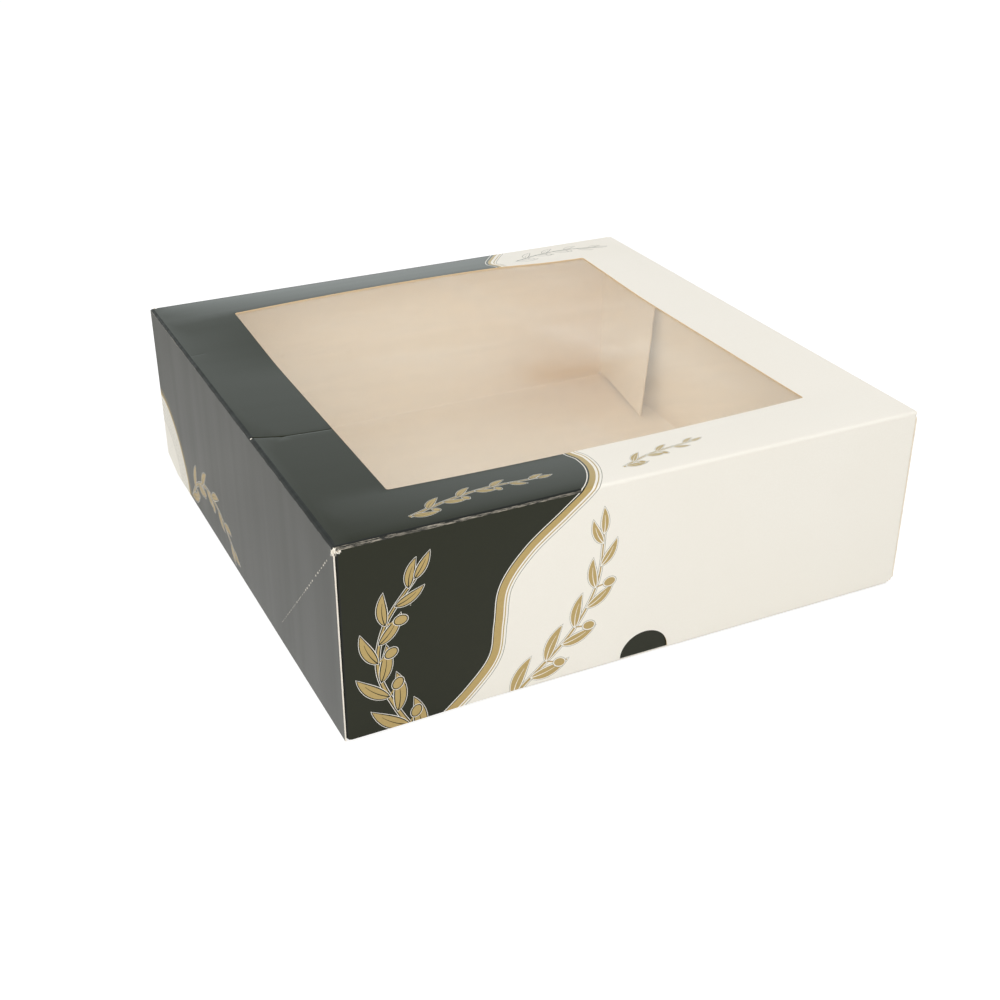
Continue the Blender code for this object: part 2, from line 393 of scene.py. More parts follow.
def crackedFold(name, look):
    # Ink and varnish cracked by the crease and rubbed since. That shows grey fibres between dark flakes, in
    # streaks along the fold.
    material, add, where = newMaterial(name)
    along = add("Mapping", {"Scale": look["stretch"]}, {"Vector": where})
    grain = {"Scale": perMetre(look["flake"]), "Detail": 4.0, "Roughness": 0.7}
    flakes = add("TexNoise", grain, {"Vector": along})
    patches = add("TexNoise", {"Scale": perMetre(look["patch"]), "Detail": 2.0}, {"Vector": where})
    bare = add("MapRange", {"From Min": 0.42, "From Max": 0.6, "To Max": look["share"]}, {"Value": flakes})
    fade = add("MapRange", {"From Min": 0.3, "From Max": 0.6, "To Min": 0.35}, {"Value": patches})
    wearAndPaintedLight = add("Math", links={0: bare, 1: fade}, operation="MULTIPLY")
    colour = add("Mix", {"A": look["ink"], "B": look["fibre"]}, {"Factor": wearAndPaintedLight}, data_type="RGBA")
    bump = add("Bump", {"Strength": 0.6, "Distance": 0.06 * mm}, {"Height": flakes})
    shader = add("BsdfPrincipled", {"Roughness": 0.55, "IOR": 1.4}, {"Base Color": colour, "Normal": bump})
    add("OutputMaterial", links={"Surface": shader})
    return material


def clearFilm(name, look):
    # Cast polyester film, glued in flat but not tight: clear, glossy, and a little milky in slanting streaks
    # where it was rolled. Thin, it reflects alike from both sides, little face on and most at a glance.
    material, add, where = newMaterial(name)
    low, high = look["haze"]
    turned = {"Rotation": (0, 0, math.radians(look["slant"])), "Scale": (0.25, 1.0, 1.0)}
    slanted = add("Mapping", turned, {"Vector": where})
    grain = {"Scale": perMetre(look["streak"]), "Detail": 2.0, "Roughness": 0.45}
    streaks = add("TexNoise", grain, {"Vector": slanted})
    spread = {"From Min": 0.35, "From Max": 0.75, "To Min": low, "To Max": high}
    streaky = add("MapRange", spread, {"Value": streaks})
    # painted reflection: milkier along the wrinkles in place of their sheen, and clearer at one spot, by the
    # piece's painted light amount
    paintedLightAmounts = add("Attribute", attribute_name="mark").outputs["Fac"]
    haze = add("Math", links={0: streaky, 1: paintedLightAmounts}, operation="ADD", use_clamp=True)
    clear = add("BsdfTransparent", {"Color": look["tint"]})
    milk = add("MixShader", {0: 0.5}, {1: add("BsdfDiffuse", {"Color": look["milk"]}),
                                       2: add("BsdfTranslucent", {"Color": look["milk"]})})
    ripple = add("Bump", {"Strength": 1.0, "Distance": look["rippleDepth"] * mm}, {"Height": streaks})
    gloss = add("BsdfGlossy", {"Roughness": look["rough"]}, {"Normal": ripple})
    facing = add("LayerWeight", {"Blend": 0.5}).outputs["Facing"]
    steep = add("Math", {1: 5.0}, {0: facing}, operation="POWER")
    glance = add("MapRange", {"To Min": look["faceOn"], "To Max": look["glance"]}, {"Value": steep})
    cloudy = add("MixShader", links={0: haze, 1: clear, 2: milk})
    shiny = add("MixShader", links={0: glance, 1: cloudy, 2: gloss})
    # light on its way through isn't held back, as the milk only scatters it
    path = add("LightPath").outputs
    passing = add("Math", links={0: path["Is Shadow Ray"], 1: path["Is Diffuse Ray"]}, operation="MAXIMUM")
    sheet = add("MixShader", links={0: passing, 1: shiny, 2: clear})
    add("OutputMaterial", links={"Surface": sheet})
    return material


# Inks over the white coat, which differ little
inked = {"cloudShare": 0.5, "fibre": 0.28, "cloud": 30.0, "streak": 2.6, "ior": 1.5, "streakDepth": 0.03,
         "peelDepth": 0.003}
finishes = {
    "black": varnishedBoard("offsetBlackVarnishedBoard", {
        "deep": "#171904", "pale": "#1C1E08", "cloudTint": "#191B06", "cloudShare": 0.6,
        "mottle": 0.9, "fibre": 0.4, "cloud": 38.0, "streak": 9.0, "rough": (0.28, 0.32), "ior": 1.34,
        "streakDepth": 0.003, "peelDepth": 0.008, "speck": "#C9C6BA", "speckEvery": 19.0,
    }),
    "white": varnishedBoard("clayCoatedWhiteBoard", {
        "deep": "#EDE8DD", "pale": "#F2EEE5", "cloudTint": "#EEE9DE", "cloudShare": 0.5,
        "mottle": 0.7, "fibre": 0.30, "cloud": 45.0, "streak": 2.6, "rough": (0.52, 0.62), "ior": 1.3,
        "streakDepth": 0.03, "peelDepth": 0.004,
    }),
    "gold": varnishedBoard("goldOffsetInk", dict(
        inked, deep="#A48B53", pale="#BFA66C", cloudTint="#B1985E", mottle=0.35, rough=(0.34, 0.42),
        metal=0.25,
    )),
    "grey": varnishedBoard("warmGreyOffsetInk", dict(
        inked, deep="#7D7A6E", pale="#8E8B7E", cloudTint="#858275", cloudShare=0.3, mottle=0.5,
        rough=(0.42, 0.50),
    )),
    "burnished": varnishedBoard("burnishedBlackFold", dict(
        # painted shade where the crease's bead turns from the light: dark ink with hardly any varnish to
        # shine
        inked, deep="#0B0D09", pale="#141611", cloudTint="#10120D", mottle=0.6, cloud=20.0, rough=(0.45, 0.6),
        ior=1.36, streakDepth=0.02,
    )),
    "bare": bareBoard("uncoatedPulpBoard", {
        "deep": "#F4E4C9", "pale": "#F9EDD9", "warm": "#F6E4C6", "fleckTint": "#D3B58B", "stain": "#C9A273",
        "cloud": 32.0, "pulp": 0.8, "fleck": 0.7, "rough": 0.85,
    }),
    "edge": bareBoard("dieCutBoardEdge", {
        "deep": "#D8BE96", "pale": "#EAD9BB", "warm": "#E3C394", "fleckTint": "#A98658",
        "cloud": 6.0, "pulp": 0.25, "fleck": 0.35, "rough": 0.9,
    }),
    "paleEdge": bareBoard("tornBoardEdge", {
        "deep": "#E6DCCB", "pale": "#F8F4EB", "warm": "#F0E5D2", "fleckTint": "#B9A283",
        "cloud": 4.0, "pulp": 0.25, "fleck": 0.4, "rough": 0.9,
    }),
    "scuffed": crackedFold("crackedBlackFold", {
        "ink": "#181915", "fibre": "#B5AC9C", "flake": 0.4, "patch": 9.0, "share": 0.85,
        "stretch": (0.12, 1.0, 1.0),
    }),
    # the left fold's thin pale line: cracked ink, and a painted highlight where the flap's top turns to the
    # light
    "cracked": crackedFold("crackedSideFold", {
        "ink": "#1A1C17", "fibre": "#B4B2A8", "flake": 0.4, "patch": 14.0, "share": 0.5,
        "stretch": (1.0, 0.12, 1.0),
    }),
    "film": clearFilm("castPolyesterFilm", {
        "slant": 50.0, "streak": 16.0, "haze": (0.165, 0.212), "tint": "#FFFFFF", "milk": "#FCF9F3",
        "rough": 0.2, "faceOn": 0.03, "glance": 0.8, "rippleDepth": 0.2,
    }),
}
print("materials", len(finishes))


# Making sheets. A sheet is cut from its blank by its outline, carries printed shapes, and is folded by its
# place function. Its printed face, its bare back and its cut edges are one closed skin.
def area(points):
    return sum(ax * by - bx * ay for (ax, ay), (bx, by) in zip(points, points[1:] + points[:1])) / 2


def anticlockwise(points):
    return list(points) if area(points) > 0 else list(reversed(points))


def reachOf(points):
    xs = [p[0] for p in points]
    ys = [p[1] for p in points]
    return min(xs), min(ys), max(xs), max(ys)


def overlaps(first, second):
    return first[0] < second[2] and second[0] < first[2] and first[1] < second[3] and second[1] < first[3]


def faceAcross(place, u, v):
    # the printed face's normal there
    h = 0.02
    alongU = Vector(place(u + h, v)) - Vector(place(u - h, v))
    alongV = Vector(place(u, v + h)) - Vector(place(u, v - h))
    return alongU.cross(alongV).normalized()


def inScene(name, data):
    thing = bpy.data.objects.new(name, data)
    bpy.context.scene.collection.objects.link(thing)
    return thing


def cutSheet(name, outline, place, printed, backing="bare", edge="edge", shapes=(), holes=(), lines=(),
             grid=0.0, thickness=board, mark=None):
    outline = anticlockwise(outline)
    reach = reachOf(outline)
    rings = [(printed, outline)] + [("hole", anticlockwise(h)) for h in holes]
    rings += [(finish, anticlockwise(ring)) for finish, ring in shapes if overlaps(reachOf(ring), reach)]
    points = []
    faces = []
    edges = []
    for finish, ring in rings:
        faces.append(list(range(len(points), len(points) + len(ring))))
        points += ring
    for row in lines:
        edges += [(i, i + 1) for i in range(len(points), len(points) + len(row) - 1)]
        points += row
    if grid:
        columns = int((reach[2] - reach[0]) / grid)
        rows = int((reach[3] - reach[1]) / grid)
        for i in range(1, columns):
            for j in range(1, rows):
                shift = (j % 2) / 2 - 0.25
                u = reach[0] + (reach[2] - reach[0]) * (i + shift) / columns
                points.append((u, reach[1] + (reach[3] - reach[1]) * j / rows))
    made = delaunay_2d_cdt([Vector(p) for p in points], edges, faces, 0, 1e-4, True)
    flat, triangles, owners = made[0], made[2], made[5]

    kept = []
    for triangle, owner in zip(triangles, owners):
        if 0 in owner and not any(rings[i][0] == "hole" for i in owner):
            turned = area([tuple(flat[i]) for i in triangle]) < 0
            kept.append((tuple(triangle[::-1] if turned else triangle), rings[max(owner)][0]))
    used = sorted({i for triangle, finish in kept for i in triangle})
    number = {old: new for new, old in enumerate(used)}
    count = len(used)
    across = [faceAcross(place, *flat[i]) for i in used]
    vertices = [Vector(place(*flat[i])) for i in used]
    vertices += [p - n * thickness for p, n in zip(vertices, across)]

    names = []
    polygons = []
    slots = []
    normals = []
    borders = {}

    def addFace(corners, finish, ways):
        if finish not in names:
            names.append(finish)
        polygons.append(corners)
        slots.append(names.index(finish))
        normals.extend(ways)

    for triangle, finish in kept:
        a, b, c = (number[i] for i in triangle)
        addFace((a, b, c), finish, [across[a], across[b], across[c]])
        addFace((a + count, c + count, b + count), backing, [-across[a], -across[c], -across[b]])
        for start, end in ((a, b), (b, c), (c, a)):
            if not borders.pop((end, start), False):
                borders[(start, end)] = True
    for a, b in borders:
        out = (vertices[a] - vertices[b]).cross(vertices[a + count] - vertices[a]).normalized()
        addFace((b, a, a + count, b + count), edge, [out] * 4)

    mesh = bpy.data.meshes.new(name)
    mesh.from_pydata([v * mm for v in vertices], [], polygons)
    mesh.polygons.foreach_set("material_index", slots)
    mesh.polygons.foreach_set("use_smooth", [True] * len(polygons))
    for finish in names:
        mesh.materials.append(finishes[finish])
    mesh.normals_split_custom_set(normals)
    if mark:
        paintedLightAmounts = mesh.attributes.new("mark", "FLOAT", "POINT")
        paintedLightAmounts.data.foreach_set("value", [mark(*flat[i]) for i in used] * 2)
    return inScene(name, mesh)


def makePanel(node, slot, *cut, **more):
    # a sheet in a CAD node's place: it has the node's name and rides on its body
    first, *rest = node.split("_")
    piece = cutSheet(first + "".join(word.capitalize() for word in rest), *cut, **more)
    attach(piece, bodyOf[node])
    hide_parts(node)


# Drawing printed shapes
def line(a, b, count):
    # evenly spaced points from a to b, both with them
    return [(a[0] + (b[0] - a[0]) * i / count, a[1] + (b[1] - a[1]) * i / count) for i in range(count + 1)]


def arc(centre, reach, start, sweep, count):
    turns = [math.radians(start + sweep * i / count) for i in range(count + 1)]
    return [(centre[0] + reach * math.cos(a), centre[1] + reach * math.sin(a)) for a in turns]


def patch(left, low, right, high):
    return [(left, low), (right, low), (right, high), (left, high)]


def curveThrough(points, step=1.5):
    # a smooth line through the points, Catmull-Rom
    ends = [points[0]] + list(points) + [points[-1]]
    path = []
    for p0, p1, p2, p3 in zip(ends, ends[1:], ends[2:], ends[3:]):
        count = max(2, round(math.dist(p1, p2) / step))
        for i in range(count):
            t = i / count
            path.append(tuple(
                0.5 * (2 * b + (c - a) * t + (2 * a - 5 * b + 4 * c - d) * t * t
                       + (3 * b - a - 3 * c + d) * t ** 3)
                for a, b, c, d in zip(p0, p1, p2, p3)
            ))
    path.append(tuple(points[-1]))
    return path


def sideways(path, i):
    # unit vector to the left of the path there
    before = path[max(i - 1, 0)]
    after = path[min(i + 1, len(path) - 1)]
    length = math.dist(before, after)
    return -(after[1] - before[1]) / length, (after[0] - before[0]) / length


def ribbon(path, width, offset=0.0):
    # width is a number or a function of the share of the way along
    left = []
    right = []
    for i, (x, y) in enumerate(path):
        nx, ny = sideways(path, i)
        w = width(i / (len(path) - 1)) if callable(width) else width
        left.append((x + nx * (offset + w / 2), y + ny * (offset + w / 2)))
        right.append((x + nx * (offset - w / 2), y + ny * (offset - w / 2)))
    return right + left[::-1]


def bentPath(root, angle, stride, bend, steps):
    # the points of a bent stroke, each with its heading
    x, y = root
    path = []
    for i in range(steps + 1):
        path.append((x, y, angle))
        x += stride * math.cos(angle)
        y += stride * math.sin(angle)
        angle += bend / steps
    return path


def leafShape(root, angle, length, width, bend, grow=0.0):
    # an olive leaf: pointed, widest below its middle, bent along its rib
    steps = 12
    root = root[0] - grow * math.cos(angle), root[1] - grow * math.sin(angle)
    left = []
    right = []
    for i, (x, y, heading) in enumerate(bentPath(root, angle, (length + 2.4 * grow) / steps, bend, steps)):
        if 0 < i < steps:
            half = (width / 2 + grow) * math.sin(math.pi * (i / steps) ** 0.8) ** 0.85
            left.append((x - math.sin(heading) * half, y + math.cos(heading) * half))
            right.append((x + math.sin(heading) * half, y - math.cos(heading) * half))
        else:
            right.append((x, y))
    return right + left[::-1]


def leafRib(root, angle, length, bend, width):
    steps = 8
    path = [p[:2] for p in bentPath(root, angle, length * 0.82 / steps, bend, steps)[:-1]]
    return ribbon(path, lambda t: width * (1 - 0.7 * t))


def olive(centre, angle, length, width, grow):
    ring = []
    for x, y in arc((0, 0), 1, 0, 360, 16)[:-1]:
        along, across = (length / 2 + grow) * x, (width / 2 + grow) * y
        ring.append((centre[0] + along * math.cos(angle) - across * math.sin(angle),
                     centre[1] + along * math.sin(angle) + across * math.cos(angle)))
    return ring


def scrap(centre, size, seed, sides=18):
    # a torn patch with an uneven edge
    rng = random.Random(seed)
    turns = arc((0, 0), 1, 0, 360, sides)[:-1]
    reaches = [size * rng.uniform(0.55, 1.0) for turn in turns]
    return [(centre[0] + reach * x, centre[1] + reach * y) for (x, y), reach in zip(turns, reaches)]


def spray(points, look):
    # an olive twig, drawn from the ground up: a stem, leaves on alternate sides and olives across from them
    path = curveThrough(points, 1.0)
    shapes = []

    def draw(shape):
        # shape draws itself, grown by the width that it is given: a fine line, a space and the ink
        shapes.append((look["lineInk"], shape(look["space"] + look["line"])))
        shapes.append((look["ground"], shape(look["space"])))
        if look["ink"]:
            shapes.append((look["ink"], shape(0.0)))

    def leaf(root, angle, size, bend):
        draw(lambda grow: leafShape(root, angle, size, size * look["fat"], bend, grow))
        shapes.append((look["vein"], leafRib(root, angle, size, bend, look["veinWidth"])))

    draw(lambda grow: ribbon(path, lambda t: look["stem"] * (1 - 0.6 * t) + 2 * grow))
    last = len(path) - 1
    for k in range(look["leaves"]):
        share = (k + 0.35) / look["leaves"]
        i = round(share * last)
        side = 1 if k % 2 else -1
        nx, ny = sideways(path, i)
        forward = math.atan2(-nx, ny)
        if k % 2 == look["oliveTurn"] and k < look["leaves"] - 2:
            turn = forward - side * 1.05
            ax, ay = math.cos(turn), math.sin(turn)
            hung = path[i][0] + look["stalk"] * ax, path[i][1] + look["stalk"] * ay
            centre = hung[0] + look["olive"] / 2 * ax, hung[1] + look["olive"] / 2 * ay
            stalk = ribbon(curveThrough([path[i], hung], 0.8), look["stem"] * 0.45)
            shapes.append((look["stalkInk"], stalk))
            draw(lambda grow: olive(centre, turn, look["olive"], look["olive"] * 0.72, grow))
        size = look["leaf"] * (1 - look["shrink"] * share)
        leaf(path[i], forward + side * look["spread"], size, -side * look["bend"])
    nx, ny = sideways(path, last)
    leaf(path[-1], math.atan2(-nx, ny), look["leaf"] * (1 - look["shrink"]), 0.25)
    return shapes


onBlack = {
    "ink": "gold", "stalkInk": "gold", "lineInk": "white", "ground": "black", "line": 0.22, "space": 0.4,
    "stem": 1.2, "leaves": 10, "leaf": 17.0, "fat": 0.26, "shrink": 0.4, "spread": 0.72, "bend": 0.6,
    "vein": "black", "veinWidth": 0.42, "olive": 4.4, "stalk": 3.4, "oliveTurn": 1,
}
onWhite = dict(onBlack, lineInk="grey", ground="white", vein="white", line=0.18)
onSide = dict(onBlack, leaf=14.0, leaves=9, stem=1.0, line=0.2, space=0.36, veinWidth=0.34, olive=3.6,
              stalk=2.6)
smallOnBlack = dict(onBlack, leaf=9.0, leaves=8, stem=0.7, line=0.16, space=0.26, veinWidth=0.26, olive=2.4,
                    stalk=1.8)
smallOnWhite = dict(smallOnBlack, lineInk="grey", ground="white", vein="white", leaves=6)
lineOnWhite = dict(smallOnWhite, ink=None, stalkInk="grey", vein="grey", veinWidth=0.24, line=0.3, space=0.0,
                   leaf=11.0, leaves=8, stem=0.3)


def bandAlong(path, width, toWhite):
    # a gold band with a white hairline on its black side, and gold and grey ones on its white side
    half = width(0.6) / 2
    return [
        ("white", ribbon(path, 0.36, -toWhite * (half + 1.0))),
        ("gold", ribbon(path, width)),
        ("gold", ribbon(path, 0.42, toWhite * (half + 1.3))),
        ("grey", ribbon(path, 0.24, toWhite * (half + 2.4))),
    ]


# The line between black and white runs down the back margin, the front margin and the front flap
frontSplit = [(-33, 68), (-47, 57), (-56, 45), (-58, 31), (-60, 18), (-69, 7), (-82, -4)]
split = curveThrough([
    (55, 118), (46, 106), (40, 96), (41, 84), (26, 40), (-4, -20), (-16, -76), (-15, -92), (-17, -103),
    (-23, -113), *(onFront(*p) for p in frontSplit),
])
splitPrint = [("black", split + [(-260, onFront(0, -8)[1]), (-260, 130)])]
splitPrint += bandAlong(split, lambda t: 1.3 + 1.5 * ease(2.2 * t - 1.0), 1)
lidPrint = list(splitPrint)
for twig, look in (
    (((-87, -8), (-96, 8), (-102, 25), (-99, 42), (-88, 57)), onBlack),
    (((-60, -7), (-44, 6), (-29, 20), (-20, 37), (-18, 56)), onWhite),
):
    lidPrint += spray([onFront(*p) for p in twig], look)
lidPrint += spray([(-86, -107), (-70, -101.5), (-54, -98.5), (-36, -99.5)], smallOnBlack)
lidPrint += spray([(-6, -106), (8, -100.5), (26, -98)], smallOnWhite)
lidPrint += spray([(53, 95), (67, 101.0), (83, 103), (98, 100)], lineOnWhite)


def cornerArc(reach):
    # quarter circles round the left flap's lower back corner
    return [onLeft(*p) for p in arc((118.0, -6.0), reach, 198, -126, 24)]


leftPrint = [("white", cornerArc(41.0) + [onLeft(140, 40), onLeft(140, -20)])]
leftPrint += [("gold", ribbon(cornerArc(41.0), 1.8)), ("gold", ribbon(cornerArc(43.2), 0.4))]
leftPrint += [("grey", ribbon(cornerArc(38.0 - 2.4 * k), 0.4)) for k in range(5)]
leftPrint += spray([onLeft(*p) for p in ((73, 2), (62, 13), (46, 19), (28, 17), (10, 8))], onSide)
rightPrint = spray([onRight(*p) for p in ((104, 3), (92, 13), (76, 19), (58, 18))],
                   dict(onWhite, leaf=14.0, leaves=8))

perforated = {"first": 2.2, "last": 2, "cut": (0.6, 1.3), "space": (1.1, 2.6), "width": (0.4, 0.75),
              "missing": 0.2, "fade": 0.5, "belly": 1.3}


def perforation(spot, seed):
    # burst white points where the 45 degree crease was perforated, stronger near the corner
    s = perforated
    rng = random.Random(seed)
    cuts = []
    along = s["first"]
    while along < foldBottom - s["last"]:
        length = rng.uniform(*s["cut"])
        fade = 1 - s["fade"] * along / foldBottom
        half = rng.uniform(*s["width"]) * fade / 2 * math.sqrt(0.5)
        reach = length * fade * math.sqrt(0.5)
        y, z = front + along, foldBottom - along
        if rng.random() > s["missing"] / fade:
            middle, wide = reach / 2, s["belly"] * half
            ring = (-half, -half), (middle - wide, -middle - wide), (reach, -reach)
            ring += (middle + wide, wide - middle), (half, half)
            cuts.append(("paleEdge", [spot(y + a, z + b) for a, b in ring]))
        along += (length + rng.uniform(*s["space"])) * math.sqrt(0.5)
    return cuts


leftPrint += perforation(onLeft, 3)
rightPrint += perforation(onRight, 4)
print("print shapes", len(lidPrint) + len(leftPrint) + len(rightPrint))


# The lid's top, with its rounded front and side folds
def foldRow(out):
    # a line round the lid at that distance out from the flat top, from one back corner to the other
    side, low = flatX + out, flatFront - out
    row = line((-side, lidHigh.y), (-side, flatFront), 24)[:-1] + arc((-flatX, flatFront), out, 180, 90, 8)
    row += line((-flatX, low), (flatX, low), 24)[1:-1] + arc((flatX, flatFront), out, -90, 90, 8)
    return row + line((side, flatFront), (side, lidHigh.y), 24)[1:]


def roundedRing(low, high, size, step):
    ring = []
    for right, upper, start in ((1, 0, -90), (1, 1, 0), (0, 1, 90), (0, 0, 180)):
        centre = high[0] - size if right else low[0] + size, high[1] - size if upper else low[1] + size
        ring += arc(centre, size, start, 90, 4)
    return [p for a, b in zip(ring, ring[1:] + ring[:1])
            for p in line(a, b, max(1, round(math.dist(a, b) / step)))[:-1]]


def lineRows():
    # fine rows beside each pressed line, so that its groove has a shape
    rows = []
    for start, end, depth, width in wear["lidLines"]:
        nx, ny = sideways((start, end), 0)
        for share in (-2.0, -1.2, -0.7, -0.3, 0.0, 0.3, 0.7, 1.2, 2.0):
            row = line(start, end, max(4, round(math.dist(start, end) / 2)))
            rows.append([(x + nx * share * width, y + ny * share * width) for x, y in row])
    return rows


foldWearAndLight = {
    "from": -114.4, "to": -32.0, "stride": (5, 9), "scuff": 1.35, "scuffAt": 0.66, "dark": 0.9,
    "crack": 0.28, "crackLength": (9, 24), "bead": (1.2, 2.1), "tornAt": 0.7, "tornSize": 1.4,
    "spot": (-114.5, -29.3),
}


def drawFoldWearAndLight():
    # the black print's folds: scuffed along the front, widest at the corner, with a band of painted shade
    # above it, and along the left a wide band of painted shade on the bead, with a thin cracked line on its
    # outer side that is also a painted highlight
    s = foldWearAndLight
    rng = random.Random(11)
    outer = -flatX - 0.8 * foldLength
    narrow, wide = s["bead"]
    wearAndPaintedLight = [("burnished", [
        (outer + 0.4, front + 0.9), (outer + 0.85 * wide, front + 2.2), (outer + wide, front + 5),
        (outer + (narrow + wide) / 2, 10), (outer + narrow, back), (outer, back), (outer, front + 1.5),
    ])]
    u = s["from"]
    while u < s["to"]:
        end = u + rng.uniform(*s["stride"])
        wide = s["scuff"] * (0.6 + 0.4 * ease((-60 - u) / 50)) * rng.uniform(0.85, 1.1)
        low = flatFront - foldLength * s["scuffAt"] - wide / 2
        high = low + wide
        wearAndPaintedLight.append(("burnished", patch(u, high, end, high + s["dark"])))
        wearAndPaintedLight.append(("scuffed", [(u, low), (end, low + rng.uniform(-0.08, 0.08)), (end, high), (u, high)]))
        u = end
    # the thin cracked line along the left fold is drawn pale as a painted highlight where the flap's top
    # turns
    v = front + 2
    inner = flatX + foldLength * 0.84
    while v < back - 3:
        length = rng.uniform(*s["crackLength"])
        outer = inner + s["crack"] * rng.uniform(0.5, 1.2)
        wearAndPaintedLight.append(("cracked", patch(-outer, v, -inner, v + length)))
        v += length + rng.choice((0, 0, 4))
    torn = -flatX - foldLength * s["tornAt"], flatFront - foldLength * s["tornAt"]
    return wearAndPaintedLight + [("paleEdge", scrap(s["spot"], 0.55, 2, 9)), ("paleEdge", scrap(torn, s["tornSize"], 8))]


def lidTop():
    outline = foldRow(foldLength) + line((flatX, flatBack), (-flatX, flatBack), 30)
    rows = [foldRow(foldLength * i / crease["steps"]) for i in range(crease["steps"])]
    across = range(-108, 109, 12)
    rows += [[(x, flatFront + y) for x in across] for y in (0.6, 1.4, 2.5, 4.0, 6.0, 9.0)]
    rows += [[(x, flatBack - y) for x in across] for y in (1.5, 3.0, 5.0, 7.5, 10.5, 14.0)]
    window = roundedRing((-windowX, windowFront), (windowX, windowBack), crease["windowRadius"], 7)
    makePanel("lid_panel", "black_print", outline, lidTopPlace, "white", shapes=lidPrint + drawFoldWearAndLight(),
              holes=[window], lines=rows + lineRows(), grid=7.0)


lidTop()
print("lid panel made")

frontFlap = {
    "lift": 0.4, "rise": (1.1, -113, 75), "corner": 0.8, "cutLength": 2.6, "cutHeight": 1.2, "notchX": 0.6,
    "notchRadius": 10.0, "notchFlat": 0.93, "fall": (0.4, 0.6),
}


def frontBottom(x):
    # the flap's lower edge stands a little higher in the middle than at its left end
    rise, start, length = frontFlap["rise"]
    return frontFlap["lift"] + rise * ease((x - start) / length)


def turnRows(spot, flat, low, high):
    # rows up the small folds at both ends of a flap
    steps = crease["steps"]
    places = [side * (flat + endLength * i / steps) for side in (-1, 1) for i in range(steps)]
    return [[spot(x, low), spot(x, high)] for x in places]


def lidFront():
    s = frontFlap
    flat, end = lidTurnX, lidTurnX + endLength
    leftFoot, rightFoot = frontBottom(-flat), frontBottom(flat) + s["cutHeight"]
    middle = frontBottom(s["notchX"])
    notch = arc((0, 0), s["notchRadius"], 180, -180, 32)
    notch = [(s["notchX"] + x, middle + s["notchFlat"] * z) for x, z in notch]
    ring = [(-end, leftFoot + s["corner"]), (-flat - 0.2, leftFoot + 0.3)]
    for x, z in line((-flat + s["corner"], 0), (flat - s["cutLength"], 0), 60):
        if abs(x - s["notchX"]) > s["notchRadius"] + 0.8:
            ring.append((x, frontBottom(x)))
        else:
            ring += notch
            notch = []
    flatTop, endTop = (foldBottom - fall for fall in s["fall"])
    ring += [(flat, rightFoot), (end, rightFoot + 0.3), (end, endTop), (flat, flatTop)]
    ring += line((flatX - 0.6, foldBottom), (0.6 - flatX, foldBottom), 40)
    ring += [(-flat, flatTop), (-end, endTop)]
    # painted shade in the gap at the left end, and the board torn at its upper corner
    shadedAndTornEnd = [("burnished", [onFront(*p) for p in patch(-end, 0, -flat - 0.2, 74)]),
              ("paleEdge", scrap(onFront(-flat, flatTop), 1.1, 12))]
    makePanel("lid_front_flap", "white_print", [onFront(*p) for p in ring], lidFrontPlace, "white",
              shapes=lidPrint + shadedAndTornEnd, lines=turnRows(onFront, flat, 3, foldBottom - 1), grid=8.0)


lidFront()
print("front flap made")


def ragged(a, b, spot, depth, step, seed):
    # points along a torn or blunt-cut edge from a to b, in a panel's own two directions
    rng = random.Random(seed)
    nx, ny = sideways((a, b), 0)
    points = [spot(*a)]
    for x, y in line(a, b, max(2, round(math.dist(a, b) / step)))[1:-1]:
        off = rng.uniform(0, depth)
        points.append(spot(x + nx * off, y + ny * off))
    return points


# Ink chipped off along the left flap's cut front edge, and torn away at its upper corner
chips = random.Random(21)
tornEdge = [("paleEdge", scrap(onLeft(front + 1.1, foldBottom - 1.0), 1.5, 9))]
for z in range(2, 73, 3):
    tornEdge.append(("paleEdge", [onLeft(front - 0.2, z), onLeft(front - 0.2, z + 3.2),
                                  onLeft(front + chips.uniform(0.02, 0.2), z + 3.2),
                                  onLeft(front + chips.uniform(0.02, 0.2), z)]))

sideFlap = {
    "lift": 0.5, "back": 114.5, "cutLength": 16.0, "cutHeight": 4.0, "nick": 0.9,
    "left": {"side": -1, "spot": onLeft, "ink": "black", "prints": leftPrint + tornEdge},
    "right": {"side": 1, "spot": onRight, "ink": "white", "prints": rightPrint},
    # where the gusset's free edge is, the height of its cut foot and how ragged it is
    "leftStart": (front, 0.01, 0.12), "rightStart": (front + 0.3, 1.0, 0.04),
}


def lidSide(hand):
    s = sideFlap
    side, spot, ink, prints = s[hand].values()
    low, end = s["lift"], s["back"]
    foot = spot(front + foldBottom - low, low)
    corner = spot(front + s["nick"] + 0.3, foldBottom - s["nick"] - 0.3)
    flap = [foot, spot(end - s["cutLength"], low), spot(end, low + s["cutHeight"]), spot(end, foldBottom),
            spot(flatFront, foldBottom), corner]
    start, cut, rough = s[hand + "Start"]
    gusset = [spot(front + 3 * cut, low), foot, corner]
    gusset += ragged((start, foldBottom - 2 * s["nick"]), (start, low + cut), spot, rough, 1.6, 7 + side)
    for name, ring in (("flap", flap), ("gusset", gusset)):
        makePanel(f"lid_{hand}_{name}", f"{ink}_print", ring, lidSidePlace, ink, edge="paleEdge",
                  shapes=prints, grid=8.0)
    near = lidTurnX + endLength
    far = near + tabs["lidReach"]
    low, high = low + tabs["relief"], foldBottom - tabs["relief"]
    corners = (near, low), (far, low), (far - tabs["taper"], high), (near, high)
    tab = [onFront(side * x, z) for x, z in corners]
    makePanel(f"lid_{hand}_tab", f"{ink}_print", tab, lidFrontPlace, ink)


for hand in ("left", "right"):
    lidSide(hand)
print("side flaps made")


